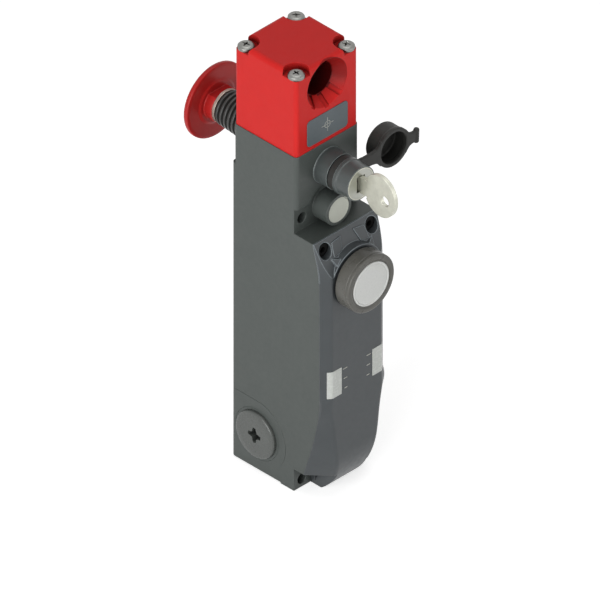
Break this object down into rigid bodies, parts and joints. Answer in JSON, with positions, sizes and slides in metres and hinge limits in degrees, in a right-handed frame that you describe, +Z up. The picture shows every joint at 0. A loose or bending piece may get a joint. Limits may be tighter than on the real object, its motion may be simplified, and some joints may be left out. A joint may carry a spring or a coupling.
{
  "type": "guard locking interlock switch",
  "caption": "Guard-locking machine safety switch: coded head with round actuator funnel, locking bolt, key release with dust cap, push-button and rear escape knob.",
  "frame": {"origin": "centre of the four mounting holes on the rear mounting face", "axes": "+Z up along the switch towards the head, -Y out of the front face, where the actuator enters; +X to the right seen from the front"},
  "size_m": [0.0685, 0.118, 0.229],
  "materials": {
    "body_grey": "fine textured powder coat",
    "cover_grey": "fine textured powder coat",
    "head_red": "satin",
    "plate_grey": "matt",
    "steel": "zinc plated",
    "bright_steel": "satin nickel",
    "bezel_grey": "satin",
    "lens_white": "translucent",
    "guide_clear": "frosted",
    "rubber_black": "matt",
    "plug_grey": "satin",
    "conduit_grey": "satin",
    "copper": "enamelled wire",
    "board_green": "solder resist",
    "inner_black": "matt",
    "bronze": "sintered"
  },
  "bodies": {
    "switch_body": {"body_housing": "body_grey", "front_cover": "cover_grey", "cover_gasket": "rubber_black", "cover_screws": "steel", "left_light_guide": "guide_clear", "right_light_guide": "guide_clear", "head_housing": "head_red", "head_gasket": "rubber_black", "head_screws": "steel", "mark_plate": "plate_grey", "antenna_board": "board_green", "antenna_coil": "copper", "bolt_bush": "bronze", "plunger_spring": "steel", "solenoid_coil": "copper", "solenoid_yoke": "steel", "lock_housing": "bezel_grey", "release_plug": "plug_grey", "release_screw": "steel", "button_bezel": "bezel_grey", "button_seal": "rubber_black", "button_nut": "inner_black", "button_spring": "steel", "contact_block": "inner_black", "left_conduit_plug": "conduit_grey", "left_plug_seal": "rubber_black", "right_conduit_plug": "conduit_grey", "right_plug_seal": "rubber_black", "escape_bush": "bronze", "bellows": "rubber_black", "main_board": "board_green", "terminal_block": "inner_black", "lamp_board": "board_green"},
    "bolt_group": {"locking_bolt": "bright_steel", "bolt_slider": "inner_black", "solenoid_plunger": "bright_steel"},
    "push_button": {"button_lens": "lens_white", "button_stem": "inner_black"},
    "barrel_group": {"lock_barrel": "bright_steel", "key_cam": "steel"},
    "key_body": {"key": "bright_steel"},
    "strap_ring_body": {"strap_ring": "rubber_black"},
    "dust_cap_body": {"dust_cap": "rubber_black"},
    "escape_group": {"escape_knob": "head_red", "escape_shaft": "bright_steel", "knob_washer": "steel", "knob_screw": "steel"}
  },
  "joints": [
    {"name": "lock_bolt_slide", "type": "slide", "parent": "switch_body", "child": "bolt_group", "axis": [0, 0, 1], "range_m": [0, 0.006], "stiffness_N_per_m": 150, "springref_m": -0.005, "deforming": ["plunger_spring"]},
    {"name": "button_press", "type": "slide", "parent": "switch_body", "child": "push_button", "axis": [0, 1, 0], "range_m": [0, 0.0035], "stiffness_N_per_m": 500, "springref_m": -0.002, "deforming": ["button_spring"]},
    {"name": "key_turn", "type": "hinge", "parent": "switch_body", "child": "barrel_group", "pos_m": [0, -0.0513, 0.0945], "axis": [0, 1, 0], "range_deg": [-90, 0]},
    {"name": "key_pull", "type": "slide", "parent": "barrel_group", "child": "key_body", "axis": [0, -1, 0], "range_m": [0, 0.026]},
    {"name": "strap_swivel", "type": "hinge", "parent": "switch_body", "child": "strap_ring_body", "pos_m": [0, -0.0513, 0.0945], "axis": [0, -1, 0], "range_deg": [-30, 120]},
    {"name": "strap_flex", "type": "hinge", "parent": "strap_ring_body", "child": "dust_cap_body", "pos_m": [0.01584, -0.0513, 0.09384], "axis": [-0.0419, 0, -0.9991], "range_deg": [0, 90], "stiffness_Nm_per_rad": 0.003},
    {"name": "escape_push", "type": "slide", "parent": "switch_body", "child": "escape_group", "axis": [0, 1, 0], "range_m": [-0.008, 0], "deforming": ["bellows"]}
  ]
}
